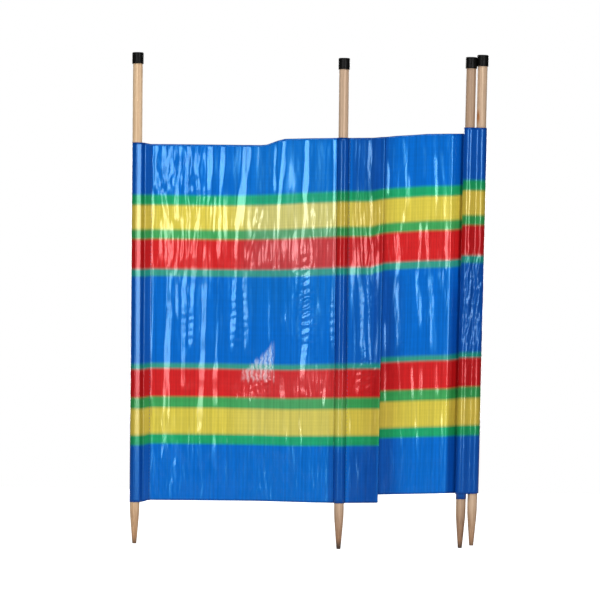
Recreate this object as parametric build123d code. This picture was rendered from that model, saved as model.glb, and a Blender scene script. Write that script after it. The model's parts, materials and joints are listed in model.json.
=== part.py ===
from build123d import *
import math
import os

# Four-pole striped beach windbreak, half unrolled: two bays of cloth stand open between
# poles 1, 2 and 3, and the third bay is rolled up on pole 4, which lies against pole 3.
#
# Frame, in millimetres: the origin is the middle of the blunt tip of pole 2 and +Z runs up
# that pole. +X runs along the windbreak from pole 1 to the rolled end, and -Y is its front.

# ---- driving dimensions ------------------------------------------------------------------

# poles: turned softwood dowels with a tapered foot
pole_dia = 24.0
pole_foot = 112.0             # bare pole below the cloth, measured on pole 2
pole_head = 188.0             # bare pole above the cloth's full height, cap included
tip_dia = 10.0
taper_length = 82.0
shoulder_radius = 380.0       # long round where the taper meets the shank
tip_edge = 1.2                # worn round on the edge of the blunt tip

# caps: moulded cups pressed over the pole tops
cap_wall = 2.0
cap_top = 2.0
cap_height = 28.0
cap_round = 3.2               # round on the top edge
cap_fit = 0.15                # clearance of the bore round the pole

# how the poles stand: places of the tips, and leans to the right in degrees
bay_1_span = 499.0            # tip of pole 1 to tip of pole 2
bay_2_span = 296.4            # tip of pole 2 to tip of pole 3
pole_1_lift = 8.0             # how far each tip stands above the tip of pole 2
pole_3_lift = 6.0
pole_4_lift = 12.0
pole_1_lean = -0.25
bundle_lean = 0.70            # poles 3 and 4 lie parallel
bundle_turn = 13.0            # pole 4 lies this many degrees behind the line of the cloth
bundle_gap = 0.4              # between the caps of poles 3 and 4

# cloth: woven polyethylene, drawn thicker than the real 0.2 mm
cloth = 0.8
cloth_height = 900.0
pocket_fit = 0.15             # clearance of a pocket round its pole
seat_gap = 0.3                # between one piece of cloth and the next

# how each stretch of cloth hangs: how far its lower edge stands above that of pole 2's pocket,
# and how much of its height goes into creases. It climbs to the right, as it was rolled askew
hang = {
    "pocket_1": (-3.0, 22.0),
    "bay_1_slack": (2.0, 29.5),
    "bay_1_taut": (1.0, 8.0),
    "pocket_2": (0.0, 7.0),
    "pleat_front": (2.0, 9.0),
    "pleat_back": (21.0, 21.5),
    "bay_2_end": (27.0, 20.0),
    "pocket_3": (14.0, 20.0),
    "bay_3_roll": (31.0, 15.0),
    "last_turn": (25.0, 3.5),
}
slack_share = 0.55            # share of bay 1, from pole 1, that hangs slack
rise_share = 0.15             # share of bay 1 over which the top edge climbs again
rise_step = 4.0               # how far below pole 2's corner that climb ends

# pleat in bay 2: the cloth is laid back on itself in a Z, the left layer in front
pleat_place = 94.0            # front edge of the pleat from the axis of pole 2, at the tips' height
pleat_depth = 28.0            # how far the layers overlap
pleat_lean = 0.50             # lean of the pleat's edges
pleat_layer = 2.0             # from the middle of one layer to the middle of the next

# third bay, rolled on pole 4, and the last turn of cloth round poles 3 and 4 together
roll_build = 1.2              # thickness of the turns of cloth on pole 4
last_turn_fit = 0.25          # between the roll and the last turn

# ---- worked out from them ----------------------------------------------------------------

pole_length = pole_foot + cloth_height + pole_head

pole_r = pole_dia / 2
pocket_in_r = pole_r + pocket_fit
pocket_out_r = pocket_in_r + cloth
cloth_reach = pocket_out_r + seat_gap      # where flat cloth starts, from a pole's axis
cap_dia = pole_dia + 2 * (cap_fit + cap_wall)
bundle_spacing = cap_dia + bundle_gap
roll_out_r = pocket_in_r + roll_build
last_turn_in_r = roll_out_r + last_turn_fit
last_turn_out_r = last_turn_in_r + cloth

pole_4_dx = bundle_spacing * math.cos(math.radians(bundle_turn))
pole_4_dy = bundle_spacing * math.sin(math.radians(bundle_turn))

# each pole's tip and lean
pole_4_tip_x = bay_2_span + pole_4_dx + (pole_4_lift - pole_3_lift) * math.tan(math.radians(bundle_lean))
stand = {
    1: (-bay_1_span, 0.0, pole_1_lift, pole_1_lean),
    2: (0.0, 0.0, 0.0, 0.0),
    3: (bay_2_span, 0.0, pole_3_lift, bundle_lean),
    4: (pole_4_tip_x, pole_4_dy, pole_4_lift, bundle_lean),
}


def at_pole(number):
    """Place of a pole: its tip, with +Z up the pole."""
    x, y, z, lean = stand[number]
    return Pos(x, y, z) * Rot(0, lean, 0)


def axis_x(number, z):
    """Where a pole's axis is at a height."""
    x, _, tip_z, lean = stand[number]
    return x + (z - tip_z) * math.tan(math.radians(lean))


def lower(stretch):
    """Height of the lower edge of a stretch of cloth."""
    return pole_foot + hang[stretch][0]


def upper(stretch):
    """Height of its upper edge."""
    return lower(stretch) + cloth_height - hang[stretch][1]


def up_the_pole(number, z):
    """Distance along a pole from its tip to a height."""
    _, _, tip_z, lean = stand[number]
    return (z - tip_z) / math.cos(math.radians(lean))


# ---- pieces ------------------------------------------------------------------------------


def make_pole(number):
    """Dowel with a tapered, blunt foot; its top meets the inside of the cap."""
    top = pole_length - cap_top
    outline = Polyline((0, 0), (tip_dia / 2, 0), (pole_r, taper_length), (pole_r, top), (0, top),
                       close=True)
    face = make_face(Plane.XZ * outline)
    shoulder = face.vertices().sort_by_distance((pole_r, 0, taper_length))[0]
    face = fillet(shoulder, shoulder_radius)
    foot = face.vertices().sort_by_distance((tip_dia / 2, 0, 0))[0]
    face = fillet(foot, tip_edge)
    return at_pole(number) * revolve(face, Axis.Z)


def make_cap(number):
    """Cup pressed over the top of the pole."""
    cup = Cylinder(cap_dia / 2, cap_height, align=(Align.CENTER, Align.CENTER, Align.MAX))
    cup = fillet(cup.faces().sort_by(Axis.Z)[-1].edges(), cap_round)
    bore = Cylinder(pole_r + cap_fit, cap_height - cap_top, align=(Align.CENTER, Align.CENTER, Align.MIN))
    cup = cup - Pos(0, 0, -cap_height) * bore
    return at_pole(number) * (Pos(0, 0, pole_length) * cup)


def make_tube(number, inner, outer, stretch):
    """Ring of cloth round a pole, as high as its stretch of cloth hangs."""
    ring = Circle(outer) - Circle(inner)
    low = up_the_pole(number, lower(stretch))
    high = up_the_pole(number, upper(stretch))
    return at_pole(number) * (Pos(0, 0, low) * extrude(ring, high - low))


def upright(points, front, back):
    """Flat piece of cloth: an outline of (x, z) points, filled from a front to a back depth."""
    outline = Polyline(*[(x, front, z) for x, z in points], close=True)
    return extrude(make_face(outline), back - front, dir=(0, 1, 0))


def make_bay_1():
    """Cloth between poles 1 and 2. Its top edge hangs slack on the left and climbs to pole 2."""
    low = lower("bay_1_slack")
    high = upper("bay_1_slack")
    left_low = axis_x(1, low) + cloth_reach
    left_high = axis_x(1, high) + cloth_reach
    right = -cloth_reach
    width = right - left_high
    slack_end = left_high + slack_share * width
    climb_end = slack_end + rise_share * width
    outline = [
        (left_low, low), (right, lower("bay_1_taut")), (right, upper("bay_1_taut")),
        (climb_end, upper("bay_1_taut") - rise_step), (slack_end, high), (left_high, high),
    ]
    return upright(outline, -cloth / 2, cloth / 2)


def make_bay_2():
    """Cloth between poles 2 and 3, laid in one Z-shaped pleat; the far layer is the hindmost."""
    front_low, front_high = lower("pleat_front"), upper("pleat_front")
    back_low, back_high = lower("pleat_back"), upper("pleat_back")
    end_low, end_high = lower("bay_2_end"), upper("bay_2_end")

    def pleat_x(z, back):
        return pleat_place - back + z * math.tan(math.radians(pleat_lean))

    def end_x(z):
        return axis_x(3, z) - last_turn_out_r - seat_gap

    def strip(low, high, left, right, front, back):
        """Upright strip between two depths, whose sides lean with the pleat."""
        return upright([
            (pleat_x(low, left), low), (pleat_x(low, right), low),
            (pleat_x(high, right), high), (pleat_x(high, left), high)], front, back)

    half = cloth / 2
    front_layer = upright([
        (cloth_reach, front_low), (pleat_x(front_low, 0), front_low),
        (pleat_x(front_high, 0), front_high), (cloth_reach, front_high)],
        -pleat_layer - half, -pleat_layer + half)
    front_fold = strip(back_low, front_high, cloth, 0, -pleat_layer - half, half)
    middle_layer = strip(back_low, front_high, pleat_depth, 0, -half, half)
    back_fold = strip(back_low, front_high, pleat_depth, pleat_depth - cloth, -half, pleat_layer + half)
    back_layer = upright([
        (pleat_x(back_low, pleat_depth), back_low), (end_x(end_low), end_low),
        (end_x(end_high), end_high), (pleat_x(back_high, pleat_depth), back_high)],
        pleat_layer - half, pleat_layer + half)
    return front_layer + front_fold + middle_layer + back_fold + back_layer


def make_last_turn():
    """The last turn of the rolled cloth: a flattened loop round poles 3 and 4 together."""
    length = bundle_spacing
    outer = SlotCenterToCenter(length, 2 * last_turn_out_r)
    inner = SlotCenterToCenter(length, 2 * last_turn_in_r)
    loop = Pos(length / 2, 0) * (outer - inner)
    low = up_the_pole(3, lower("last_turn"))
    high = up_the_pole(3, upper("last_turn"))
    return at_pole(3) * (Pos(0, 0, low) * Rot(0, 0, bundle_turn) * extrude(loop, high - low))


# ---- assembly ----------------------------------------------------------------------------

nodes = {}
for number in (1, 2, 3, 4):
    nodes[f"pole_{number}"] = make_pole(number)
    nodes[f"cap_{number}"] = make_cap(number)

for number in (1, 2, 3):
    pocket = f"pocket_{number}"
    nodes[pocket] = make_tube(number, pocket_in_r, pocket_out_r, pocket)

nodes["bay_1_cloth"] = make_bay_1()
nodes["bay_2_cloth"] = make_bay_2()
nodes["bay_3_roll"] = make_tube(4, pocket_in_r, roll_out_r, "bay_3_roll")
nodes["last_turn"] = make_last_turn()

os.makedirs("parts", exist_ok=True)
for name, piece in nodes.items():
    export_step(piece, f"parts/{name}.step")
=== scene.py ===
import json
import math

import bmesh
import bpy
import numpy as np
from mathutils import Matrix, Vector, noise


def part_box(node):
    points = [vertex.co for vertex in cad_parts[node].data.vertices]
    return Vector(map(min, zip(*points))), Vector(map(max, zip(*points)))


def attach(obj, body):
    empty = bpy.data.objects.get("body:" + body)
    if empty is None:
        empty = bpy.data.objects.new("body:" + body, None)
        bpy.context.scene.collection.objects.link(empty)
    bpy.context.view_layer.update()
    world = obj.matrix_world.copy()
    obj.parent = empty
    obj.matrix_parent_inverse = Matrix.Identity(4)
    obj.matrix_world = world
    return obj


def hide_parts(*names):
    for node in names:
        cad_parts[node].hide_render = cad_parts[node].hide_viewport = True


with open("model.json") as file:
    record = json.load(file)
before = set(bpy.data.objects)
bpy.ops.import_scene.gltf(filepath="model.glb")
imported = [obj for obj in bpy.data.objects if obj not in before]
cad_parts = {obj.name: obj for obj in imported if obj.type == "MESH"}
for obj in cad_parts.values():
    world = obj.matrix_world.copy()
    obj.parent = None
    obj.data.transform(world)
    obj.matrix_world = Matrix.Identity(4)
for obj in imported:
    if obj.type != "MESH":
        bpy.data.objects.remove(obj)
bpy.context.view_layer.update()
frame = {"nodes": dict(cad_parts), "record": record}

scene = bpy.context.scene
MM = 0.001

# ---- where the poles stand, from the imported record, in mm ------------------------------------

mounts = {mount["name"]: mount for mount in frame["record"]["mounts"]}


def tip(number):
    """Middle of a pole's tip."""
    return Vector(mounts[f"pole_{number}_tip"]["pos_m"]) / MM


def up_the_pole(number):
    """Direction from a pole's tip to its cap."""
    return -Vector(mounts[f"pole_{number}_tip"]["axis"]).normalized()


def axis_x(number, z):
    """Where a pole's axis is at a height."""
    up = up_the_pole(number)
    return tip(number).x + (z - tip(number).z) * up.x / up.z


def low_and_high(node):
    """Heights of the lower and upper end of a CAD node."""
    low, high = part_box(node)
    return low.z / MM, high.z / MM


foot, corner = low_and_high("pocket_2")       # lower and upper edge of the cloth at pole 2
pole_r = 12.0                                 # 24 mm dowel
cloth_height = 900.0                          # standard width of the cloth, stood on edge
cloth_thickness = 0.35                        # the real cloth is thinner, about 0.2 mm
hinge_r = 14.2                                # where the left bay's cloth meets pocket 2

# ---- colours and nodes -----------------------------------------------------------------------


def linear(code):
    """sRGB hex to linear."""
    parts = [int(code[i:i + 2], 16) / 255 for i in (0, 2, 4)]
    return [p / 12.92 if p <= 0.04045 else ((p + 0.055) / 1.055) ** 2.4 for p in parts] + [1.0]


def new_material(name):
    material = bpy.data.materials.new(name)
    material.use_nodes = True
    material.node_tree.nodes.clear()
    return material


def grey(level):
    """A linear grey."""
    return (level, level, level, 1)


def node(owner, kind, settings=(), **links):
    """Adds a node to a material or the world. Settings are attributes or input values; links join
    an input to a socket."""
    made = owner.node_tree.nodes.new("ShaderNode" + kind)
    for key, value in dict(settings).items():
        if isinstance(key, str) and hasattr(made, key):
            setattr(made, key, value)
        else:
            made.inputs[key].default_value = value
    for key, source in links.items():
        slot = int(key[1:]) if key[0] == "i" and key[1:].isdigit() else key.replace("_", " ")
        owner.node_tree.links.new(source, made.inputs[slot])
    return made


def ramp(material, source, stops):
    """Colour ramp over a 0 to 1 value, with stops of (place, colour)."""
    made = node(material, "ValToRGB", Fac=source)
    points = made.color_ramp.elements
    while len(points) < len(stops):
        points.new(0.5)
    for point, (place, colour) in zip(points, stops):
        point.position = place
        point.color = colour
    return made.outputs["Color"]


COLOUR_MIX = {"data_type": "RGBA"}
COLOUR_MULTIPLY = {"data_type": "RGBA", "blend_type": "MULTIPLY", 0: 1.0}

# ---- materials ---------------------------------------------------------------------------------

# scales of wave textures: 0.314 m divided by the distance from one band to the next
tape_wave = 62.8          # 5 mm
ripple_wave = 16.7        # 19 mm
comb_wave = 29.0          # 11 mm
twist_wave = 196.0        # 1.6 mm

# Bands of the cloth from its lower edge, by the height in mm at which each ends. They are tapes
# of the warp, which runs the length of the windbreak, each in its own dye. The second colour is
# the same band with painted shade: where two thicknesses of cloth lie together with less light
# through them, and in the shade beside the pleat, the valley, the pockets and the roll. The third
# is the band faded by the sun, which takes the red and the yellow first.
sea_blue = "046AD0", "064AA4", "066CCC"
leaf_green = "1CA86C", "148A50", "20A47A"
shore_green = "40A65A", "2A8844", "58A270"
sand_yellow = "E0CE4C", "C4AC40", "D0CA76"
flag_red = "D82224", "B01216", "C43C40"
deep_teal = "349E8A", "168272", "38988C"
bands = [
    (141.0, sea_blue), (166.0, leaf_green), (231.5, sand_yellow), (259.5, shore_green),
    (330.0, flag_red), (343.5, deep_teal), (562.5, sea_blue), (581.0, deep_teal),
    (656.5, flag_red), (681.0, shore_green), (742.0, sand_yellow), (768.5, leaf_green),
    (cloth_height, sea_blue),
]
band_blend = 7.5          # mm, three tapes, over which one band gives way to the next


def woven_polyethylene():
    """Laminated woven polyethylene: flat tapes woven square, with a clear glossy film on them. Its
    creases flash and the flat of it stays deep. A deeper colour is painted in for shade where two
    thicknesses lie together or the cloth is shaded, and a highlight is painted on the comb of creases.
    """
    m = new_material("woven_polyethylene")
    place = node(m, "UVMap", {"uv_map": "cloth"}).outputs["UV"]
    split = node(m, "SeparateXYZ", Vector=place)
    height = node(m, "Math", {"operation": "DIVIDE", 1: cloth_height * MM}, i0=split.outputs["Y"])
    single, shade_stops, bleached = [], [], []
    start = 0.0
    for end, (one_layer, in_shade, by_sun) in bands:
        for edge in (start + band_blend / 2, end - band_blend / 2):
            single.append((edge / cloth_height, linear(one_layer)))
            shade_stops.append((edge / cloth_height, linear(in_shade)))
            bleached.append((edge / cloth_height, linear(by_sun)))
        start = end
    faded = node(m, "Attribute", {"attribute_name": "faded"})
    fresh = node(m, "Mix", COLOUR_MIX, i0=faded.outputs["Fac"],
                 i6=ramp(m, height.outputs[0], single), i7=ramp(m, height.outputs[0], bleached))
    # painted shade: the attribute mixes in the deeper colour of each band
    painted_shade = node(m, "Attribute", {"attribute_name": "painted_shade"})
    dyed_and_shaded = node(m, "Mix", COLOUR_MIX, i0=painted_shade.outputs["Fac"],
                i6=fresh.outputs[2], i7=ramp(m, height.outputs[0], shade_stops)).outputs[2]

    # weft tapes run up the cloth; the real ones are 2.5 mm wide, drawn 5 mm so that they show
    weft_place = node(m, "Mapping", {"Scale": (200.0, 3.0, 1.0)}, Vector=place)
    weft = node(m, "TexNoise", {"Scale": 1.0, "Detail": 2.0, "Roughness": 0.6},
                Vector=weft_place.outputs[0])
    weft_tone = ramp(m, weft.outputs["Fac"], [(0.3, grey(0.82)), (0.7, grey(1.13))])
    # warp tapes run along it and take the dye unevenly from tape to tape
    warp_place = node(m, "Mapping", {"Scale": (2.0, 160.0, 1.0)}, Vector=place)
    warp = node(m, "TexNoise", {"Scale": 1.0, "Detail": 1.0}, Vector=warp_place.outputs[0])
    warp_tone = ramp(m, warp.outputs["Fac"], [(0.3, grey(0.96)), (0.7, grey(1.03))])
    toned = node(m, "Mix", COLOUR_MULTIPLY,
                 i6=dyed_and_shaded, i7=weft_tone)
    toned = node(m, "Mix", COLOUR_MULTIPLY,
                 i6=toned.outputs[2], i7=warp_tone)
    # 3 mm along both edges of the cloth, drawn darker
    edge_tone = (0.62, 0.66, 0.74, 1)
    darker_edges = ramp(m, height.outputs[0], [(0.0035, edge_tone), (0.0045, grey(1)),
                                           (0.9955, grey(1)), (0.9965, edge_tone)])
    deeper = node(m, "Mix", COLOUR_MULTIPLY,
                  i6=toned.outputs[2], i7=darker_edges)

    # tapes crossing over and under: 5 mm from tape to tape
    over = node(m, "TexWave", {"wave_type": "BANDS", "bands_direction": "X", "Scale": tape_wave},
                Vector=place)
    under = node(m, "TexWave", {"wave_type": "BANDS", "bands_direction": "Y", "Scale": tape_wave},
                 Vector=place)
    weave = node(m, "Math", {"operation": "MULTIPLY"}, i0=over.outputs["Fac"],
                 i1=under.outputs["Fac"])
    weave_bump = node(m, "Bump", {"Strength": 0.05, "Distance": 0.0003},
                      Height=weave.outputs[0])
    # small sharp creases of the stiff film, round cells about 16 mm wide and 50 mm high
    crease_place = node(m, "Mapping", {"Scale": (64.0, 20.0, 1.0)}, Vector=place)
    wander = node(m, "TexNoise", {"Scale": 0.6, "Detail": 2.0}, Vector=crease_place.outputs[0])
    bent = node(m, "VectorMath", {"operation": "MULTIPLY_ADD", 1: (1.4, 1.4, 0.0)},
                i0=wander.outputs["Color"], i2=crease_place.outputs[0])
    crease = node(m, "TexVoronoi", {"feature": "DISTANCE_TO_EDGE", "Scale": 1.0},
                  Vector=bent.outputs[0])
    crease_height = ramp(m, crease.outputs["Distance"],
                         [(0.0, grey(1)), (0.42, grey(0))])
    crumple = node(m, "Attribute", {"attribute_name": "crumple"})
    crease_bump = node(m, "Bump", {"Distance": 0.00055}, Strength=crumple.outputs["Fac"],
                       Height=crease_height, Normal=weave_bump.outputs[0])
    # ripples across a fold that was squeezed endways, one in 19 mm, lying a little aslant
    rung_place = node(m, "Mapping", {"Rotation": (0.0, 0.0, -0.3)}, Vector=place)
    rung = node(m, "TexWave", {"wave_type": "BANDS", "bands_direction": "Y", "Scale": ripple_wave,
                               "Distortion": 1.6, "Detail": 1.0, "Detail Scale": 2.5},
                Vector=rung_place.outputs[0])
    rungs = node(m, "Attribute", {"attribute_name": "rungs"})
    rung_bump = node(m, "Bump", {"Distance": 0.0013}, Strength=rungs.outputs["Fac"],
                     Height=rung.outputs["Fac"], Normal=crease_bump.outputs[0])
    # a comb of short sharp creases side by side, one in 11 mm
    tooth = node(m, "TexWave", {"wave_type": "BANDS", "bands_direction": "X", "Scale": comb_wave,
                                "Distortion": 4.0, "Detail": 2.0, "Detail Scale": 2.2},
                 Vector=place)
    teeth = node(m, "Attribute", {"attribute_name": "teeth"})
    tooth_bump = node(m, "Bump", {"Distance": 0.0010}, Strength=teeth.outputs["Fac"],
                      Height=tooth.outputs["Fac"], Normal=rung_bump.outputs[0])
    # painted highlight on the comb of creases: it is whitened, partly as polyethylene goes white
    # where it has been bent sharply, and partly for the light its creases catch
    sharp = node(m, "Math", {"operation": "MULTIPLY"}, i0=tooth.outputs["Fac"], i1=crease_height)
    edge = ramp(m, sharp.outputs[0], [(0.0, grey(0.08)), (0.55, grey(0.42))])
    comb_highlight_paint = node(m, "Math", {"operation": "MULTIPLY", "use_clamp": True}, i0=edge,
                  i1=teeth.outputs["Fac"])
    with_comb_highlight = node(m, "Mix", {"data_type": "RGBA", 7: linear("EEF0F4")}, i0=comb_highlight_paint.outputs[0],
                   i6=deeper.outputs[2])
    # the film lies in the dye's colour, so its gloss is tinted by it, and the clear coat's isn't
    tint = node(m, "Gamma", {"Gamma": 0.37}, Color=deeper.outputs[2])
    # film that has been creased is crazed, and its gloss is broader
    crazed = node(m, "MapRange", {"To Min": 0.23, "To Max": 0.28}, Value=crumple.outputs["Fac"])
    shader = node(m, "BsdfPrincipled", {"IOR": 1.52, "Specular IOR Level": 1.0,
                                        "Coat Weight": 0.2, "Coat Roughness": 0.1},
                  Base_Color=with_comb_highlight.outputs[2], Specular_Tint=tint.outputs[0],
                  Roughness=crazed.outputs[0],
                  Normal=tooth_bump.outputs[0], Coat_Normal=tooth_bump.outputs[0])
    node(m, "OutputMaterial", Surface=shader.outputs[0])
    return m


def turned_pine(name, pale, middle, dark, brown_spot_at=None):
    """Softwood dowel, turned and left bare: pale wood with straight darker grain up the pole, a
    dull sheen, and a foot drawn darker towards the tip."""
    m = new_material(name)
    place = node(m, "TexCoord").outputs["Object"]
    # growth rings 3 to 4 mm apart show as upright bands; they wander over half a metre
    grain_place = node(m, "Mapping", {"Scale": (260.0, 260.0, 3.0)}, Vector=place)
    grain = node(m, "TexNoise", {"Scale": 1.0, "Detail": 3.0, "Roughness": 0.55,
                                 "Distortion": 0.4}, Vector=grain_place.outputs[0])
    wood = ramp(m, grain.outputs["Fac"], [(0.30, linear(dark)), (0.5, linear(middle)),
                                          (0.68, linear(pale))])
    # fibres and pores under a millimetre across, drawn one or two wide
    fibre_place = node(m, "Mapping", {"Scale": (900.0, 900.0, 12.0)}, Vector=place)
    fibre = node(m, "TexNoise", {"Scale": 1.0, "Detail": 2.0}, Vector=fibre_place.outputs[0])
    fibre_tone = ramp(m, fibre.outputs["Fac"], [(0.35, (0.86, 0.84, 0.82, 1)),
                                                (0.6, grey(1.03))])
    wood = node(m, "Mix", COLOUR_MULTIPLY,
                i6=wood, i7=fibre_tone).outputs[2]
    if brown_spot_at:
        # a brown spot on the pole's side
        spot_scale = (150.0, 150.0, 45.0)
        spot_shift = [-at * MM * scale for at, scale in zip(brown_spot_at, spot_scale)]
        spot_place = node(m, "Mapping", {"Location": spot_shift, "Scale": spot_scale}, Vector=place)
        brown_spot = node(m, "TexGradient", {"gradient_type": "SPHERICAL"}, Vector=spot_place.outputs[0])
        spot_share = ramp(m, brown_spot.outputs["Fac"], [(0.0, grey(0)), (0.75, grey(1))])
        wood = node(m, "Mix", {"data_type": "RGBA", 7: linear("A8672A")},
                    i0=spot_share, i6=wood).outputs[2]
    split = node(m, "SeparateXYZ", Vector=place)
    # darker towards the tip, from 115 mm up down to the tip, which is darkest
    darker_to_tip = ramp(m, split.outputs["Z"], [(0.006, linear("5E5048")), (0.026, linear("D2BCAA")),
                                         (0.115, grey(1))])
    wood = node(m, "Mix", COLOUR_MULTIPLY,
                i6=wood, i7=darker_to_tip).outputs[2]
    bump = node(m, "Bump", {"Strength": 0.25, "Distance": 0.0004}, Height=fibre.outputs["Fac"])
    shader = node(m, "BsdfPrincipled", {"Roughness": 0.55, "IOR": 1.5}, Base_Color=wood,
                  Normal=bump.outputs[0])
    node(m, "OutputMaterial", Surface=shader.outputs[0])
    return m


def moulded_black_polyethylene():
    """Moulded polyethylene cap: black, satin, with fine handling marks that catch the light."""
    m = new_material("moulded_black_polyethylene")
    place = node(m, "TexCoord").outputs["Object"]
    rub = node(m, "TexNoise", {"Scale": 180.0, "Detail": 3.0}, Vector=place)
    black = ramp(m, rub.outputs["Fac"], [(0.4, linear("040404")), (0.7, linear("0E0E0C"))])
    gloss = node(m, "MapRange", {"From Min": 0.3, "From Max": 0.7, "To Min": 0.36, "To Max": 0.5},
                 Value=rub.outputs["Fac"])
    grain = node(m, "TexNoise", {"Scale": 1400.0, "Detail": 1.0}, Vector=place)
    bump = node(m, "Bump", {"Strength": 0.15, "Distance": 0.0002}, Height=grain.outputs["Fac"])
    shader = node(m, "BsdfPrincipled", {"IOR": 1.5, "Specular IOR Level": 0.15}, Base_Color=black,
                  Roughness=gloss.outputs[0], Normal=bump.outputs[0])
    node(m, "OutputMaterial", Surface=shader.outputs[0])
    return m


cloth_finish = woven_polyethylene()
cap_finish = moulded_black_polyethylene()
# a brown spot on pole 4's side towards pole 3, 1060 mm up
spot_on_pole_4 = (axis_x(4, 1058.0) - 9.0, tip(4).y - 8.0, 1060.0)
pole_finishes = {
    1: turned_pine("turned_pine_1", "F2D2AC", "E6C49C", "CBA27C"),
    2: turned_pine("turned_pine_2", "DEBEA0", "CCAD90", "B29274"),
    3: turned_pine("turned_pine_3", "C8A888", "B3947A", "967556", spot_on_pole_4),
    4: turned_pine("turned_pine_4", "E2C4A3", "CEAF91", "B69576", spot_on_pole_4),
}
for number, pole_finish in pole_finishes.items():
    for cad_node, finish in ((f"pole_{number}", pole_finish), (f"cap_{number}", cap_finish)):
        data = frame["nodes"][cad_node].data
        data.materials.clear()
        data.materials.append(finish)

# ---- cloth -------------------------------------------------------------------------------------

relief_low, relief_high = 80.0, 1080.0        # heights in mm between which the relief is worked out
relief_row = 5.0                              # mm from one row of it to the next
knot_step = 28.0                              # mm between changes in a crease's width and place
fold_slope = 0.11                             # a slope steeper than this belongs to a crease
come_back_width = 91                          # mm over which the cloth comes back, 45 on each side
belly_rows = 25                               # rows over which a belly changes, 60 mm up and down


def ease(low, high, value):
    """0 below low, 1 above high, smooth between."""
    share = np.clip((value - low) / (high - low), 0, 1)
    return share * share * (3 - 2 * share)


def wrinkle(across, up, seed):
    """Smooth unevenness of about -1 to 1 at each point of two arrays."""
    flat = [noise.fractal(Vector((a, b, seed)), 0.7, 2.1, 3)
            for a, b in zip(across.ravel(), up.ravel())]
    return np.array(flat).reshape(across.shape)


class Fold:
    """An upright crease of the stiff cloth: a flat flank `width` mm wide that leans away on its left
    side by `lean`, or on its right where lean is negative. The track is the flank's middle, a list
    of (x, z) in mm."""

    def __init__(self, lean, width, *track):
        self.lean = lean
        self.width = width
        self.xs, self.zs = zip(*sorted(track, key=lambda place: place[1]))
        # unevenness: no two creases have the same, and it's the same on each run
        chance = np.random.default_rng(int(abs(self.xs[0]) * 7 + width))
        self.knots = np.arange(relief_low, relief_high, knot_step)
        self.wider = chance.uniform(0.78, 1.42, len(self.knots))
        self.aside = chance.uniform(-1.3, 1.3, len(self.knots))

    def slope(self, x, z):
        """The crease's slope at each point, rounded at the flank's edges and faded at its ends."""
        off = np.abs(x - np.interp(z, self.zs, self.xs) - np.interp(z, self.knots, self.aside))
        half = self.width / 2 * np.interp(z, self.knots, self.wider) + 0.7
        fade = ease(self.zs[0] - 26, self.zs[0] + 14, z)
        fade = fade * (1 - ease(self.zs[-1] - 8, self.zs[-1] + 22, z))
        return self.lean * (1 - ease(half - 1.2, half + 1.2, off)) * fade


def crumple_map(patches, x, z):
    """How creased the film is, 0 to 1, from patches of (x, z, half width, half height, amount)."""
    total = np.zeros_like(x)
    across = x + 14 * wrinkle(x / 30, z / 40, 2.7)
    up = z + 22 * wrinkle(x / 26 + 7, z / 50, 5.1)
    for px, pz, wide, high, amount in patches:
        away = ((across - px) / wide) ** 2 + ((up - pz) / high) ** 2
        total = np.maximum(total, amount * np.exp(-away))
    return total


def hanging_relief(folds, crumples, left, right, lean, bellied=None):
    """How far the creased cloth stands forward in mm, as a function of arrays x and z.

    Crumpled patches are small uneven pleats, each a broad flank that leans by `lean` and a short
    steep one that comes back. `bellied` gives the share of the creases' lean that the cloth as a
    whole follows, where it bellies forward; it comes back slowly over the rest of its width."""
    xs, zs = np.arange(left, right, 1.0), np.arange(relief_low, relief_high, relief_row)
    x, z = np.meshgrid(xs, zs)
    slopes = np.stack([fold.slope(x, z) for fold in folds])
    slope = slopes.max(0) + slopes.min(0)
    phase = x / 11.0 + 1.5 * wrinkle(x / 45, z / 120, 4.4) + 0.5 * wrinkle(x / 16, z / 45, 8.8)
    pleats = np.where(phase % 1.0 < 0.70, lean, -2.3 * lean)
    creased = crumple_map(crumples, x, z) + 0.45 * wrinkle(x / 22, z / 60, 6.1)
    pleats = pleats * ease(0.35, 0.75, creased)
    slope = np.where(np.abs(slope) > fold_slope, slope, pleats)
    # the cloth comes back beside the creases, more of it between them than on them
    window = np.ones(come_back_width) / come_back_width
    comes_back = np.where(np.abs(slope) > fold_slope, 0.35, 1.0)
    general = np.array([np.convolve(row, window, "same") for row in slope])
    room = np.array([np.convolve(row, window, "same") for row in comes_back])
    slope = slope - general * comes_back / room
    relief = np.cumsum(slope, axis=1)
    for _ in range(4):                   # where a crease starts or ends, the cloth eases into it
        relief[1:-1] = (relief[:-2] + 2 * relief[1:-1] + relief[2:]) / 4
    if bellied is not None:
        window = np.ones(belly_rows) / belly_rows
        general = np.array([np.convolve(column, window, "same") for column in general.T]).T
        belly = np.cumsum(general * bellied(x, z), axis=1)
        relief = relief + belly - belly[:, -1:] * ease(-350.0, -20.0, x)

    def sample(x, z):
        column = np.clip(x - left, 0, len(xs) - 1.001)
        row = np.clip((z - relief_low) / relief_row, 0, len(zs) - 1.001)
        i, j = row.astype(int), column.astype(int)
        a, b = row - i, column - j
        return ((1 - a) * (1 - b) * relief[i, j] + (1 - a) * b * relief[i, j + 1]
                + a * (1 - b) * relief[i + 1, j] + a * b * relief[i + 1, j + 1])

    return sample


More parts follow.
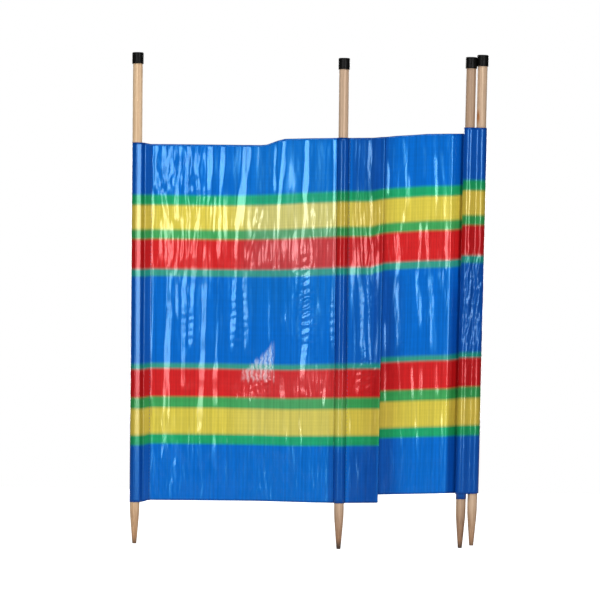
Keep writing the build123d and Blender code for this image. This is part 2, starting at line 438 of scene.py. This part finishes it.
# the left bay hangs slack, and its creases crowd together beside pole 1
bay_1_folds = [
    Fold(0.25, 12, (-459.5, 1000), (-459.5, 940), (-458, 918), (-451, 888), (-436, 856), (-428.5, 809),
         (-424.7, 731), (-422, 654), (-420, 575), (-424, 494), (-427, 300), (-430, 230)),
    Fold(0.24, 7, (-436, 1000), (-438, 950), (-439, 925), (-430, 903), (-421, 881), (-412, 862)),
    Fold(0.25, 12, (-418, 1000), (-419.7, 950), (-413, 918), (-407, 894), (-403, 868), (-405, 800)),
    Fold(0.24, 6, (-396.5, 1000), (-396.5, 918), (-396, 894)),
    Fold(0.25, 7, (-442, 800), (-443, 700)),
    Fold(0.29, 6, (-412, 790), (-413, 700)),
    Fold(0.25, 6, (-388, 800), (-390, 700)),
    Fold(0.24, 6, (-401, 760), (-401.3, 731), (-403, 660), (-400, 560)),
    Fold(0.25, 9, (-376, 1000), (-378.7, 918), (-381, 868), (-372.6, 809), (-376.4, 731), (-383, 650),
         (-385, 560), (-386, 396)),
    Fold(0.25, 10, (-356, 1000), (-358.5, 934), (-355, 903), (-350, 868), (-350.8, 809), (-359, 731),
         (-362, 650), (-366, 560), (-369, 494)),
    Fold(0.23, 5, (-343.5, 1000), (-348, 950), (-354, 920)),
    Fold(0.25, 12, (-323, 1000), (-323.5, 918), (-325, 862), (-332, 809), (-334, 731), (-335, 640),
         (-337, 500), (-344, 290)),
    Fold(0.22, 7, (-309, 860), (-311, 800), (-313, 770)),
    Fold(0.26, 10, (-290.5, 1000), (-293.5, 918), (-296, 862), (-297, 800), (-299.5, 731), (-300, 700)),
    Fold(0.21, 6, (-300, 690), (-301, 640), (-304, 450)),
    Fold(0.24, 11, (-304, 452), (-306, 400), (-305, 340)),
    Fold(0.26, 19, (-231, 1000), (-238.5, 918), (-243.6, 868), (-249, 825), (-253.3, 778)),
    Fold(0.22, 8, (-256, 770), (-258, 700), (-260, 640)),
    Fold(0.27, 11, (-262, 660), (-262, 600), (-266, 483)),
    Fold(0.26, 8, (-192, 830), (-205, 790), (-211, 772)),
    Fold(0.34, 8, (-211, 772), (-218, 750), (-229, 705)),
    Fold(0.21, 13, (-236, 685), (-234, 640), (-231, 560), (-232, 484)),
    Fold(0.30, 9, (-199, 735), (-201, 690)),
    Fold(0.30, 7, (-182, 760), (-186, 690)),
    Fold(0.33, 4, (-172, 745), (-173, 690)),
    Fold(0.18, 4, (-177, 640), (-175, 500)),
    Fold(0.31, 6, (-127, 765), (-127, 690)),
    Fold(0.26, 7, (-165, 985), (-165, 940), (-164, 868)),
    Fold(0.28, 10, (-141.5, 1000), (-146.5, 918), (-152, 868), (-155, 825), (-155.5, 778), (-154, 685)),
    Fold(0.26, 12, (-85, 1005), (-88.8, 918), (-92, 856), (-88, 809), (-93, 731), (-90, 690)),
    Fold(0.27, 18, (-88, 690), (-86, 656), (-84, 595), (-86, 540), (-88, 510)),
    Fold(0.29, 12, (-88, 500), (-93, 432), (-91, 380)),
    Fold(0.32, 7, (-77, 767), (-75, 693)),
    Fold(0.21, 6, (-119, 661), (-120, 509)),
    Fold(0.19, 8, (-35, 987), (-37, 877), (-40, 755)),
    Fold(0.26, 9, (-141, 415), (-141, 368)),
    Fold(0.29, 6, (-34, 440), (-40, 350)),
    Fold(0.32, 7, (-58, 450), (-56, 385)),
    Fold(0.30, 7, (-20, 430), (-26, 385)),
    Fold(0.20, 6, (-31, 240), (-30, 112)),
    Fold(0.15, 12, (-490, 400), (-391, 232), (-390, 205)),
    Fold(0.16, 6, (-17, 1000), (-17, 853)),
    Fold(0.25, 7, (-17, 840), (-17, 694), (-21, 608), (-24, 511)),
]
bay_2_folds = [
    Fold(-0.19, 5, (21, 1005), (21, 829), (22, 700)),
    Fold(-0.20, 8, (40, 1000), (37, 927), (35, 841), (37, 790)),
    Fold(-0.24, 9, (38, 780), (40, 731), (45, 660)),
    Fold(-0.23, 13, (43, 680), (46, 640), (50, 588), (53, 520), (56, 455)),
    Fold(-0.22, 9, (65, 1003), (67, 878), (70, 817), (74, 702), (77, 650)),
    Fold(-0.26, 9, (50, 835), (60, 732), (65, 670)),
    Fold(-0.20, 7, (64, 670), (69, 560), (74, 440)),
    Fold(-0.26, 15, (52, 452), (44, 420), (35, 380)),
    Fold(-0.22, 7, (110, 952), (110, 867)),
    Fold(-0.23, 7, (106, 560), (109, 360)),
    Fold(-0.14, 8, (122, 989), (125, 916)),
    Fold(-0.15, 10, (148, 1006), (154, 953), (161, 884), (158, 843), (151, 801)),
    Fold(-0.17, 9, (145, 790), (132, 750), (137, 703), (136, 670)),
    Fold(-0.15, 13, (134, 660), (136, 610), (141, 488)),
    Fold(-0.19, 6, (142, 470), (146, 375)),
    Fold(-0.20, 7, (130, 765), (147, 695)),
    Fold(-0.12, 9, (201, 990), (200, 900)),
    Fold(-0.17, 8, (191, 800), (189, 704), (184, 660)),
    Fold(-0.16, 11, (187, 650), (191, 600), (194, 540)),
    Fold(-0.20, 6, (176, 446), (178, 372)),
    Fold(-0.20, 7, (196, 446), (198, 368)),
    Fold(-0.12, 8, (225, 966), (230, 880), (235, 802)),
    Fold(-0.17, 8, (205, 790), (214, 704), (215, 670)),
    Fold(-0.14, 13, (216, 672), (222, 590), (229, 470)),
    Fold(-0.19, 9, (231, 460), (236, 375)),
    Fold(-0.12, 7, (241, 978), (249, 893), (253, 802)),
    Fold(-0.16, 7, (253, 790), (257, 690)),
    Fold(-0.10, 5, (257, 670), (257, 502)),
]
# patches where the film is crumpled: (x, z, half width, half height, amount)
bay_1_crumples = [
    (-432, 925, 30, 70, 1.2), (-385, 925, 38, 70, 1.2), (-410, 800, 55, 60, 0.8),
    (-400, 700, 60, 80, 0.7), (-395, 600, 45, 120, 0.7), (-375, 470, 30, 110, 0.5),
    (-262, 560, 16, 110, 0.5), (-231, 590, 16, 80, 0.5), (-178, 730, 50, 46, 0.7),
    (-205, 790, 20, 40, 0.7), (-190, 432, 40, 22, 0.3), (-88, 600, 14, 80, 0.9),
    (-24, 570, 12, 60, 0.7), (-88, 400, 22, 40, 0.4), (-62, 398, 56, 22, 1.0),
    (-188, 142, 26, 12, 1.3), (-98, 190, 10, 22, 0.7), (-216, 384, 52, 18, 1.5),
    (-60, 800, 70, 60, 0.45), (-130, 560, 40, 60, 0.45), (-30, 140, 18, 9, 0.6),
]
# folds that were squeezed endways, as patches in the same way
bay_1_rungs = [
    (-86, 600, 18, 100, 1.2), (-252, 560, 22, 90, 0.35), (-22, 555, 12, 70, 0.45),
    (-372, 540, 14, 70, 0.35), (-200, 392, 50, 10, 0.6),
]
bay_2_crumples = [
    (60, 700, 20, 160, 0.6), (46, 412, 22, 36, 0.35), (60, 560, 24, 100, 0.35), (20, 560, 10, 80, 0.2),
    (150, 900, 26, 70, 0.5), (140, 745, 24, 36, 0.6), (215, 720, 46, 50, 0.5), (200, 600, 50, 60, 0.4),
    (60, 900, 30, 80, 0.4), (250, 640, 14, 200, 0.4),
]
bay_2_rungs = [(56, 440, 20, 60, 0.9), (150, 500, 16, 60, 0.4), (60, 600, 20, 60, 0.5)]


def beside_pole_1(x, z):
    """The share of their lean that the crowded creases beside pole 1 give the cloth."""
    return (0.2 + 0.3 * ease(620, 720, z)) * (1 - ease(-356, -330, x)) * ease(380, 600, z)


bay_1_relief = hanging_relief(bay_1_folds, bay_1_crumples, -520.0, 40.0, 0.20, beside_pole_1)
bay_2_relief = hanging_relief(bay_2_folds, bay_2_crumples, -30.0, 330.0, -0.21)


def make_cloth(name, width, columns, rows, place, thickness=cloth_thickness):
    """A sheet of cloth of the given width in mm, made as a flat grid and then put in place.

    place(s, v) gives x, y, z in mm and the attributes, for the distances along it and up it."""
    mesh = bmesh.new()
    bmesh.ops.create_grid(mesh, x_segments=columns, y_segments=rows, size=0.5)
    data = bpy.data.meshes.new(name)
    mesh.to_mesh(data)
    mesh.free()
    flat = np.zeros(len(data.vertices) * 3)
    data.vertices.foreach_get("co", flat)
    flat = flat.reshape(-1, 3)
    along, up = [(axis - axis.min()) / (axis.max() - axis.min()) for axis in flat.T[:2]]
    s, v = along * width, up * cloth_height
    x, y, z, attributes = place(s, v)
    data.vertices.foreach_set("co", (np.stack([x, y, z], 1) * MM).ravel())
    corners = np.zeros(len(data.loops), int)
    data.loops.foreach_get("vertex_index", corners)
    layer = data.uv_layers.new(name="cloth")
    layer.data.foreach_set("uv", (np.stack([s, v], 1)[corners] * MM).ravel())
    for key, values in attributes.items():
        attribute = data.attributes.new(key, "FLOAT", "POINT")
        attribute.data.foreach_set("value", np.asarray(values, np.float32))
    data.polygons.foreach_set("use_smooth", np.ones(len(data.polygons), bool))
    data.materials.append(cloth_finish)
    data.update()
    piece = bpy.data.objects.new(name, data)
    scene.collection.objects.link(piece)
    if thickness:
        wall = piece.modifiers.new("cloth", "SOLIDIFY")
        wall.thickness = thickness * MM
        wall.offset = 0.0
    return piece


def plan_curve(points):
    """Dense curve through points in plan, with its corners eased, and the distance along it."""
    step = 0.5                           # mm from point to point
    dense_x, dense_y = [points[0][0]], [points[0][1]]
    for (x0, y0), (x1, y1) in zip(points, points[1:]):
        count = max(1, round(math.hypot(x1 - x0, y1 - y0) / step))
        for i in range(1, count + 1):
            dense_x.append(x0 + (x1 - x0) * i / count)
            dense_y.append(y0 + (y1 - y0) * i / count)
    xs, ys = np.array(dense_x), np.array(dense_y)
    for _ in range(4):
        xs[1:-1] = (xs[:-2] + 2 * xs[1:-1] + xs[2:]) / 4
        ys[1:-1] = (ys[:-2] + 2 * ys[1:-1] + ys[2:]) / 4
    run = np.concatenate([[0], np.cumsum(np.hypot(np.diff(xs), np.diff(ys)))])
    return xs, ys, run


def arc(centre, radius, start, end, steps):
    """Points of an arc in plan, angles in degrees from +X towards +Y."""
    return [(centre[0] + radius * math.cos(math.radians(start + (end - start) * i / steps)),
             centre[1] + radius * math.sin(math.radians(start + (end - start) * i / steps)))
            for i in range(steps + 1)]


middle_z = (foot + corner) / 2


def lift_in_place(bottom, top, bow, v):
    """Height of a point of the cloth: its stripes bow up between the two edges."""
    share = v / cloth_height
    return bottom + share * (top - bottom) + bow * 4 * share * (1 - share)


# Bay 1 with the pocket of pole 1: the cloth starts at the seam behind, goes round the pole and
# comes back over the seam, then hangs slack to pole 2.
pole_1_x = axis_x(1, middle_z)
pocket_r = pole_r + 0.55
seam_x = pole_1_x + 38.0
bay_1_plan = [(seam_x + 3, 1.6), (seam_x - 8, 2.8), (pole_1_x + 22, 6.5)]
bay_1_plan += arc((pole_1_x, 0), pocket_r, 62, 248, 34)
bay_1_plan += [(pole_1_x - 1.5, -13.7), (pole_1_x + 11.8, -9.6), (pole_1_x + 15.5, -4.0),
               (pole_1_x + 18, 0.4), (pole_1_x + 22, 1.3), (seam_x - 2, 1.2), (seam_x + 4, -0.2),
               (seam_x + 14, -0.4), (-120.0, -0.5), (-hinge_r, 0.0)]
bay_1_xs, bay_1_ys, bay_1_run = plan_curve(bay_1_plan)
bay_1_width = bay_1_run[-1]
front_run = 90.0           # by here the cloth has come round to the front


def place_bay_1(s, v):
    """Where bay 1's cloth is at a distance along it and up it, with its attributes."""
    x = np.interp(s, bay_1_run, bay_1_xs)
    y = np.interp(s, bay_1_run, bay_1_ys)
    stripe_top = corner + np.interp(x, [-486, -310, -249, -200, -151, -102, -19, 0],
                                    [-18.0, -19.5, -17.0, -14.0, -10.0, -5.0, -1.0, 0])
    edge = corner + np.interp(x, [-486, -478, -468, -200, -185, -160, -142, -100, 0],
                              [-17.6, -18.8, -20.6, -20.3, -18.6, -9.0, -4.2, -2.6, 0])
    top = stripe_top + (edge - stripe_top) * ease(0.87, 1.0, v / cloth_height)
    bottom = foot + np.interp(x, [-487, -480, -470, -462, -300, -200, -60, 0],
                              [-3, -1.8, 1.4, 2.4, 2.8, 3.0, 0.6, 0.3])
    bow = np.interp(x, [-486, -300, -120, 0], [2.5, 3.0, -2.6, 0])
    z = lift_in_place(bottom, top, bow, v)
    past_seam = ease(seam_x - 3, seam_x + 3, x) * (s > front_run)
    before_hinge = 1 - ease(-34, -hinge_r, x)
    relief = bay_1_relief(x, z)
    relief += 1.1 * wrinkle(x / 95, z / 420, 3.1)
    uneven = 0.55 + 0.4 * ease(560, 720, z) - 0.5 * ease(800, 860, z)
    relief += uneven * wrinkle(x / 26, z / 150, 7.7)
    relief += 1.1 * (1 - ease(300, 360, z)) * wrinkle(x / 18, z / 110, 11.3)
    beside_pocket_2 = np.interp(x, [-24.5, -16.2, -hinge_r], [0, 1.7, 0.1]) * ease(440, 520, z)
    y = y - relief * past_seam * before_hinge - beside_pocket_2
    x = x + (z - middle_z) * np.interp(x, [-486, -14], [up_the_pole(1).x, 0])
    # the comb is a triangle, tallest towards the middle of the windbreak
    ragged = 8 * wrinkle(x / 6, z / 60, 3.3)
    comb_top = 428 + 68 * np.clip((x + 243) / 78, 0, 1) ** 1.5 + ragged
    teeth = ease(-246, -238, x) * (1 - ease(-172, -160, x + ragged / 2))
    teeth = teeth * ease(406 + ragged, 414 + ragged, z) * (1 - ease(comb_top, comb_top + 14, z))
    rungs = crumple_map(bay_1_rungs, x, z)
    crumple = (0.8 * crumple_map(bay_1_crumples, x, z) + teeth) * past_seam + 0.05
    # painted shade: a deeper colour on pocket 1 and the cloth up to its seam, and low down beside pocket
    # 2
    pocket_2_shade = ease(-30, -24, x) * (0.3 + 0.4 * (1 - ease(240, 300, z))) * (1 - ease(600, 680, z))
    painted_shade = np.maximum(0.9 * (1 - past_seam), pocket_2_shade)
    faded = ease(-300, -190, x) * np.maximum(ease(520, 640, z), 0.42 * (1 - ease(400, 520, z)))
    return x, y, z, {"crumple": crumple, "painted_shade": painted_shade, "faded": faded * past_seam,
                     "teeth": teeth * past_seam, "rungs": rungs * past_seam}


bay_1 = make_cloth("bay_1_sheet", bay_1_width, 292, 158, place_bay_1)
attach(bay_1, "left_bay")
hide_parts("bay_1_cloth", "pocket_1")

thread_length, thread_r, stitch_pitch = 5.2, 0.4, 9.0      # a coarse stitch, as on a tarpaulin
stitch_out = 0.45                     # mm from the middle of the cloth to the middle of the thread
back_seam_run = 6.5                   # where pocket 1's seam lies along bay 1, behind
pocket_2_seam_run = 3.0               # where pocket 2's seam lies along bay 2


def spun_polyester_thread():
    """Spun polyester sewing thread: navy, dull and slightly hairy, so it has a soft edge sheen."""
    m = new_material("spun_polyester_thread")
    place = node(m, "TexCoord").outputs["Object"]
    # the twist of the thread, 0.8 mm a turn, drawn at 1.6 mm
    twist = node(m, "TexWave", {"wave_type": "BANDS", "bands_direction": "Z", "Scale": twist_wave},
                 Vector=place)
    navy = ramp(m, twist.outputs["Fac"], [(0.0, linear("0A2A66")), (1.0, linear("1B4C9C"))])
    bump = node(m, "Bump", {"Strength": 0.4, "Distance": 0.0002}, Height=twist.outputs["Fac"])
    shader = node(m, "BsdfPrincipled", {"Roughness": 0.65, "IOR": 1.5, "Sheen Weight": 0.3},
                  Base_Color=navy, Normal=bump.outputs[0])
    node(m, "OutputMaterial", Surface=shader.outputs[0])
    return m


thread_finish = spun_polyester_thread()


def stitch_row(name, body, place, s, out):
    """A row of stitches up the cloth at distance s along it, standing `out` mm behind its middle."""
    heights = np.arange(7.0, cloth_height - 6.0, stitch_pitch)
    x, y, z, _ = place(np.full_like(heights, s), heights)
    size = Vector((thread_r, thread_r, thread_length / 2)) * MM
    mesh = bmesh.new()
    for at in zip(x, y + out, z):
        upright = Matrix.LocRotScale(Vector(at) * MM, None, size)
        bmesh.ops.create_icosphere(mesh, subdivisions=1, radius=1.0, matrix=upright)
    data = bpy.data.meshes.new(name)
    mesh.to_mesh(data)
    mesh.free()
    data.polygons.foreach_set("use_smooth", np.ones(len(data.polygons), bool))
    data.materials.append(thread_finish)
    row = bpy.data.objects.new(name, data)
    scene.collection.objects.link(row)
    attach(row, body)


def run_where(xs, run, x_wanted, after):
    """Distance along a cloth at which it first reaches an x, after a given distance."""
    return run[np.where((run > after) & (xs >= x_wanted))[0][0]]


front_seam_run = run_where(bay_1_xs, bay_1_run, seam_x - 3, front_run)
stitch_row("pocket_1_stitches", "left_bay", place_bay_1, front_seam_run, -stitch_out)
stitch_row("pocket_1_stitches_back", "left_bay", place_bay_1, back_seam_run, stitch_out)

# Pocket 2, a tube of cloth on pole 2. The line of it stays inside the circle that bay 1's edge
# swings round. The thickness of the cloth makes the two cross by under 0.2 mm at rest.
pocket_2_plan = [(hinge_r, 1.2), (12.2, 6.0)] + arc((0, 0), pocket_r, 48, 132, 16)
pocket_2_plan += [(-12.2, 6.0), (-hinge_r + 0.1, 1.0), (-hinge_r + 0.1, -1.0), (-11.6, -7.6),
                  (-8.9, -10.2), (-3.4, -12.5), (4.6, -12.7), (8.2, -11.0), (11.8, -7.2), (hinge_r, -1.2)]
pocket_2_xs, pocket_2_ys, pocket_2_run = plan_curve(pocket_2_plan)
pocket_2_width = pocket_2_run[-1]


def place_pocket_2(s, v):
    """The same for pocket 2."""
    x = np.interp(s, pocket_2_run, pocket_2_xs)
    y = np.interp(s, pocket_2_run, pocket_2_ys)
    z = lift_in_place(foot, corner, 0.0, v)
    out = 0.25 * wrinkle(x / 9 + 40, z / 70, 1.3) * (1 - ease(11.0, 13.0, np.abs(x)))
    size = np.hypot(x, y)
    size_now = np.minimum(size + out, hinge_r)
    # painted shade: a deeper colour on pocket 2, most above 480 mm and below 220 mm
    return (x * size_now / size, y * size_now / size, z,
            {"crumple": np.full_like(x, 0.06), "faded": np.full_like(x, 0.3),
             "painted_shade": 0.4 + 0.6 * ease(400, 480, z) + 0.5 * (1 - ease(220, 270, z))})


pocket_2 = make_cloth("pocket_2_sheet", pocket_2_width, 72, 80, place_pocket_2)
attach(pocket_2, "right_bays")
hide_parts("pocket_2")

# Bay 2: from pole 2 to the pleat, back under itself, on to the roll, and once round poles 3 and 4
# with the far end tucked in beside pocket 3.
axis_3 = (axis_x(3, middle_z), tip(3).y)
axis_4 = (axis_x(4, middle_z), tip(4).y)
turn_r = 14.2
turn_tilt = math.degrees(math.atan2(axis_4[1] - axis_3[1], axis_4[0] - axis_3[0]))
pleat_front = 94.0 + middle_z * math.tan(math.radians(0.5))
pleat_back = pleat_front - 28.0
valley_x = axis_3[0] - turn_r - 26.0
bay_2_plan = [(hinge_r, 0.0), (36.0, -1.6), (pleat_front - 3.0, -2.6)]
bay_2_plan += arc((pleat_front - 1.3, -1.3), 1.3, -90, 90, 8)
bay_2_plan += [(pleat_back + 1.0, 0.2)] + arc((pleat_back + 1.0, 1.3), 1.1, 270, 90, 8)[1:]
bay_2_plan += [(pleat_front + 20, 1.2), (valley_x - 12, 0.8), (valley_x, 1.6), (valley_x + 14, 9.0),
               (valley_x + 26, 14.6)]
bay_2_plan += arc(axis_3, turn_r + 1.4, 100, 90 + turn_tilt, 3)
bay_2_plan += arc(axis_4, turn_r + 0.5, 90 + turn_tilt, -90, 28)
bay_2_plan += [(axis_3[0] + 18.5, axis_4[1] - turn_r - 0.3)]
bay_2_plan += arc(axis_3, turn_r, -64, -242, 26)
bay_2_xs, bay_2_ys, bay_2_run = plan_curve(bay_2_plan)
bay_2_width = bay_2_run[-1]

pleat_run = run_where(bay_2_xs, bay_2_run, pleat_front - 0.2, 0.0)
back_layer_run = pleat_run + 30.0
valley_run = run_where(bay_2_xs, bay_2_run, valley_x, back_layer_run)
turn_run = run_where(bay_2_xs, bay_2_run, axis_4[0] + 5, valley_run)


def bay_2_hang(x, z):
    """How far bay 2 stands forward in mm."""
    relief = bay_2_relief(x, z)
    relief += 0.9 * wrinkle(x / 80 + 9, z / 400, 5.3)
    uneven = 0.5 + 0.35 * ease(560, 720, z) - 0.4 * ease(800, 860, z)
    relief += uneven * wrinkle(x / 24, z / 140, 9.1)
    return relief + 0.7 * (1 - ease(300, 360, z)) * wrinkle(x / 18, z / 110, 12.7)


def held_between(hang, left, right, x, z):
    """How far cloth that hangs by `hang` stands forward between two places, left and right in mm,
    where it is held flat: a straight line between its two ends is taken off."""
    share = np.clip((x - left) / (right - left), 0, 1)
    return hang(x, z) - (1 - share) * hang(0 * x + left, z) - share * hang(0 * x + right, z)


def place_bay_2(s, v):
    """The same for bay 2 and the turn round poles 3 and 4."""
    x = np.interp(s, bay_2_run, bay_2_xs)
    y = np.interp(s, bay_2_run, bay_2_ys)
    marks = [0.0, pleat_run - 2, back_layer_run, valley_run, valley_run + 30, turn_run, turn_run + 90,
             bay_2_width]
    bottom = foot + np.interp(s, marks, [0.4, 2.0, 21.0, 27.0, 27.5, 29.0, 25.0, 25.0])
    top = corner + np.interp(s, marks, [0.0, 1.5, 1.0, 13.5, 14.5, 28.5, 28.6, 28.6])
    after_pleat = (s > back_layer_run) & (s < valley_run)
    right_top = corner + np.interp(x, [pleat_back, pleat_front, 126, 163, 199, 236, 256, valley_x],
                                   [1.0, 3.5, 6.5, 9.0, 12.0, 13.0, 13.5, 13.5])
    top = np.where(after_pleat, right_top, top)
    bow = np.interp(s, marks, [0.5, 0.5, 1.5, 3.0, 6.0, 5.5, 5.5, 5.5])
    z = lift_in_place(bottom, top, bow, v)
    share = v / cloth_height
    # in its upper half the pleat is pulled flat, so the bands run on across it
    pulled_up = (2.0 + 19.0 * (1 - share)) * ease(0.42, 0.72, share)
    z = z + pulled_up * ease(pleat_run - 34, pleat_run, s) * (s < pleat_run + 1)
    lean = np.interp(s, marks, [0, 0.5, 0.5, 0.7, 0.7, 0.7, 0.7, 0.7])
    x = x + (z - middle_z) * np.tan(np.radians(lean))
    open_front = (1 - ease(pleat_run - 14, pleat_run - 3, s)) * ease(0, 16, s)
    open_right = ease(back_layer_run + 24, back_layer_run + 40, s)
    open_right = open_right * (1 - ease(valley_run - 8, valley_run + 4, s))
    shown = open_front + open_right
    relief = np.where(s < pleat_run, held_between(bay_2_hang, hinge_r, pleat_front - 5, x, z),
                      held_between(bay_2_hang, pleat_front + 6, valley_x - 4, x, z))
    y = y - relief * shown
    # the turn round the bundle is pinched by the pull on it, most of all at 540 to 690 mm
    on_turn = ease(turn_run, turn_run + 14, s)
    pressed = 0.15 + ease(470, 540, z) * (1 - ease(690, 760, z))
    pinch = 1.7 * (0.3 + wrinkle((s + 0.22 * z) / 9, z / 44, 2.2)) * on_turn * pressed
    y = y - pinch
    crumple = crumple_map(bay_2_crumples, x, z) * shown + 0.05
    on_bundle = crumple_map([(-5, 610, 60, 110, 0.8), (-5, 480, 60, 90, 0.4)], x - 318, z)
    crumple = crumple + on_bundle * on_turn
    # painted shade: a deeper colour in the valley and on the turn round poles 3 and 4, beside the pleat,
    # beside pocket 2, over the front part and in the pleat's turn
    in_bundle = ease(turn_run - 60, turn_run - 50, s)
    full_shade = np.maximum(in_bundle, 1 - ease(600, 700, z))
    valley_and_roll_shade = ease(valley_run - 2, valley_run + 12, s) * (0.35 + 0.65 * full_shade)
    lower = 1 - ease(640, 720, z)
    from_pleat = (x - pleat_front + 2 - 15 * lower) / (22 + 12 * lower)
    pleat_shade = (0.75 + 0.25 * lower) * np.exp(-from_pleat ** 2)
    rungs = crumple_map(bay_2_rungs, x, z) * shown + 0.4 * on_bundle * on_turn
    pleat_turn_shade = ease(pleat_run + 28, pleat_run + 31, s)
    pleat_turn_shade = pleat_turn_shade * (1 - ease(back_layer_run + 22, back_layer_run + 36, s))
    pocket_shade = 1 - ease(16.0, 20.0, x)
    front_shade = (0.5 + 0.3 * ease(640, 720, z) + 0.35 * (1 - ease(220, 280, z))) * open_front
    painted_shade = front_shade + pleat_shade * (s < valley_run) + 0.7 * pocket_shade * ease(400, 480, z)
    painted_shade = np.clip(painted_shade + valley_and_roll_shade + 0.6 * pleat_turn_shade, 0, 1)
    faded = 0.3 * (1 - ease(pleat_front - 20, pleat_front + 10, x)) * ease(520, 640, z)
    return x, y, z, {"crumple": crumple, "painted_shade": painted_shade, "faded": faded, "rungs": rungs}


bay_2 = make_cloth("bay_2_sheet", bay_2_width, 292, 158, place_bay_2)
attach(bay_2, "right_bays")
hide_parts("bay_2_cloth", "last_turn")

stitch_row("pocket_2_stitches", "right_bays", place_bay_2, pocket_2_seam_run, -stitch_out)
stitch_row("pocket_2_stitches_back", "right_bays", place_bay_2, pocket_2_seam_run, stitch_out)

# Pocket 3, hidden but for its lower end.
pocket_3_low, pocket_3_high = low_and_high("pocket_3")
pocket_3_plan = arc(axis_3, pocket_r, 105, -255, 40)
pocket_3_xs, pocket_3_ys, pocket_3_run = plan_curve(pocket_3_plan)
pocket_3_width = pocket_3_run[-1]


def place_pocket_3(s, v):
    """The same for pocket 3."""
    x = np.interp(s, pocket_3_run, pocket_3_xs)
    y = np.interp(s, pocket_3_run, pocket_3_ys)
    z = lift_in_place(pocket_3_low, pocket_3_high, 0.0, v)
    x = x + (z - middle_z) * up_the_pole(3).x
    # painted shade: pocket 3 takes the deeper colour all over
    return x, y, z, {"crumple": np.full_like(x, 0.06), "painted_shade": np.full_like(x, 1.0)}


pocket_3 = make_cloth("pocket_3_sheet", pocket_3_width, 60, 30, place_pocket_3)
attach(pocket_3, "right_bays")
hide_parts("pocket_3")

# Bay 3, rolled on pole 4: six turns of thin cloth.
roll_low, roll_high = low_and_high("bay_3_roll")
roll_turns = 6.0
roll_start, roll_end = pole_r + 0.3, pole_r + 1.4
roll_width = roll_turns * math.pi * (roll_start + roll_end)


def place_roll(s, v):
    """The same for the rolled bay 3."""
    share = s / roll_width
    angle = share * roll_turns * 2 * math.pi
    radius = roll_start + (roll_end - roll_start) * share
    z = lift_in_place(roll_low, roll_high, 0.0, v)
    x = axis_x(4, middle_z) + radius * np.cos(angle) + (z - middle_z) * up_the_pole(4).x
    y = tip(4).y + radius * np.sin(angle)
    # painted shade: the roll takes the deeper colour all over
    return x, y, z, {"crumple": np.full_like(x, 0.06), "painted_shade": np.full_like(x, 1.0)}


roll = make_cloth("bay_3_sheet", roll_width, 300, 24, place_roll, thickness=0.0)
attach(roll, "right_bays")
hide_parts("bay_3_roll")

# ---- floor, light and camera -------------------------------------------------------------------

floor_finish = new_material("pale_floor")
seen = node(floor_finish, "LightPath").outputs["Is Camera Ray"]
plain = node(floor_finish, "BsdfDiffuse", {"Color": linear("E6E6E6")})
glow = node(floor_finish, "Emission", {"Color": grey(1), "Strength": 0.85})
both = node(floor_finish, "AddShader", i0=plain.outputs[0], i1=glow.outputs[0])
shown_floor = node(floor_finish, "MixShader", i0=seen, i1=plain.outputs[0], i2=both.outputs[0])
node(floor_finish, "OutputMaterial", Surface=shown_floor.outputs[0])
grid = bmesh.new()
bmesh.ops.create_grid(grid, x_segments=1, y_segments=1, size=3.0)
floor_data = bpy.data.meshes.new("floor")
grid.to_mesh(floor_data)
grid.free()
floor_data.materials.append(floor_finish)
floor = bpy.data.objects.new("floor", floor_data)
scene.collection.objects.link(floor)

world = bpy.data.worlds.new("studio")
scene.world = world
world.use_nodes = True
world.node_tree.nodes.clear()
path = node(world, "LightPath")
level = node(world, "MapRange", {"To Min": 0.10, "To Max": 1.0}, Value=path.outputs["Is Camera Ray"])
air = node(world, "Background", {"Color": grey(1)}, Strength=level.outputs[0])
node(world, "OutputWorld", Surface=air.outputs[0])


def softbox(name, place, aim, width, height, power):
    """An upright softbox, sizes in metres and power in watts."""
    lamp = bpy.data.lights.new(name, "AREA")
    lamp.shape = "RECTANGLE"
    lamp.size = width
    lamp.size_y = height
    lamp.energy = power
    holder = bpy.data.objects.new(name, lamp)
    scene.collection.objects.link(holder)
    holder.location = place
    holder.rotation_mode = "QUATERNION"
    holder.rotation_quaternion = (Vector(aim) - Vector(place)).to_track_quat("-Z", "Y")


softbox("left_box", (-1.9, -3.6, 1.03), (-0.1, 0, 0.7), 0.8, 1.7, 54.0)
softbox("right_box", (1.7, -3.6, 1.03), (-0.1, 0, 0.7), 0.8, 1.7, 54.0)
softbox("overhead", (-0.1, -2.2, 3.6), (-0.1, 0, 0.6), 2.4, 1.2, 36.0)
softbox("back_left_box", (-1.9, 3.6, 1.03), (-0.1, 0, 0.7), 0.8, 1.7, 46.0)
softbox("back_right_box", (1.7, 3.6, 1.03), (-0.1, 0, 0.7), 0.8, 1.7, 46.0)
softbox("back_overhead", (-0.1, 2.2, 3.6), (-0.1, 0, 0.6), 2.4, 1.2, 26.0)

camera_data = bpy.data.cameras.new("camera")
camera_data.sensor_width = 36.0
camera_data.lens = 245.5
camera_data.clip_end = 100.0
camera = bpy.data.objects.new("camera", camera_data)
scene.collection.objects.link(camera)
camera.location = (-0.1012, -10.0, 0.6074)
camera.rotation_euler = (math.radians(90), math.radians(-0.69), 0)
scene.camera = camera
scene.view_settings.view_transform = "Standard"
